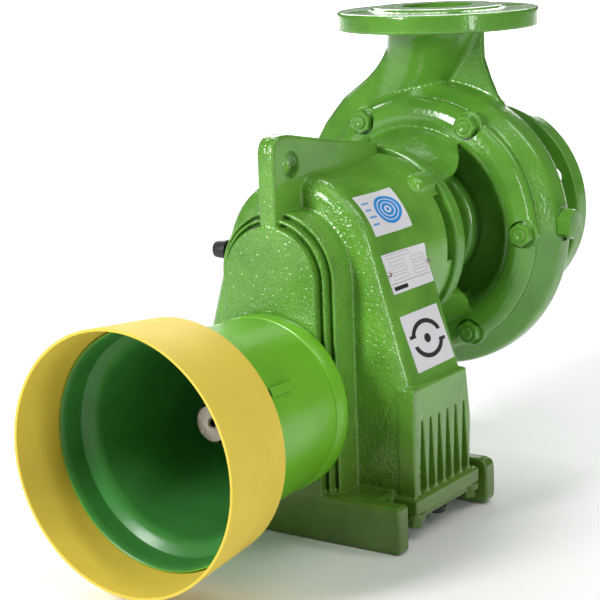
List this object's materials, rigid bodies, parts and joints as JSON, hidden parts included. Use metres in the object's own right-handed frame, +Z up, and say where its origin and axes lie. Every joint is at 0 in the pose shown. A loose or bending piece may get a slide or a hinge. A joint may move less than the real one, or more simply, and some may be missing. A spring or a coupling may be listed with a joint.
{
  "type": "centrifugal pump with step-up gearbox",
  "caption": "Green cast-iron centrifugal pump on a step-up gearbox with feet, lifting lug, splined input shaft, guard bell with yellow cuff, upward outlet flange and rear inlet flange.",
  "frame": {"origin": "centre of the underside of the front foot, on the floor", "axes": "-Y out along the splined input shaft, +Y towards the pump and its inlet flange, +X to the right seen from the input shaft, +Z up"},
  "size_m": [0.2864, 0.5918, 0.4219],
  "materials": {
    "cast_green": "glossy green paint over a rough casting",
    "bell_green": "smooth glossy yellow-green paint",
    "yellow_plastic": "satin",
    "steel": "machined",
    "black_plastic": "satin",
    "bare_iron": "rough"
  },
  "bodies": {
    "pump_body": {"gearbox_housing": "cast_green", "sump_cover": "cast_green", "sump_drain_plug": "black_plastic", "breather_plug": "black_plastic", "guard_bell": "bell_green", "guard_cuff": "yellow_plastic", "input_bearing_cap": "cast_green", "lantern_cover": "cast_green", "seal_housing": "cast_green", "volute_casing": "cast_green", "outlet_branch": "cast_green", "inlet_branch": "cast_green", "casing_plug": "cast_green", "cover_stud_1": "steel", "cover_nut_1": "cast_green", "cover_stud_2": "steel", "cover_nut_2": "cast_green", "cover_stud_3": "steel", "cover_nut_3": "cast_green", "cover_stud_4": "steel", "cover_nut_4": "cast_green", "cover_stud_5": "steel", "cover_nut_5": "cast_green", "cover_stud_6": "steel", "cover_nut_6": "cast_green"},
    "rotor": {"pump_shaft": "steel", "impeller": "bare_iron", "impeller_nut": "steel"},
    "input_shaft": {"pto_shaft": "steel"}
  },
  "joints": [
    {"name": "impeller_spin", "type": "hinge", "parent": "pump_body", "child": "rotor", "pos_m": [0, 0.2, 0.2234], "axis": [0, 1, 0], "continuous": true},
    {"name": "input_spin", "type": "hinge", "parent": "pump_body", "child": "input_shaft", "pos_m": [0, -0.05, 0.1183], "axis": [0, 1, 0], "continuous": true}
  ],
  "couplings": [
    {"joint": "input_spin", "follows": "impeller_spin", "ratio": -0.185}
  ]
}
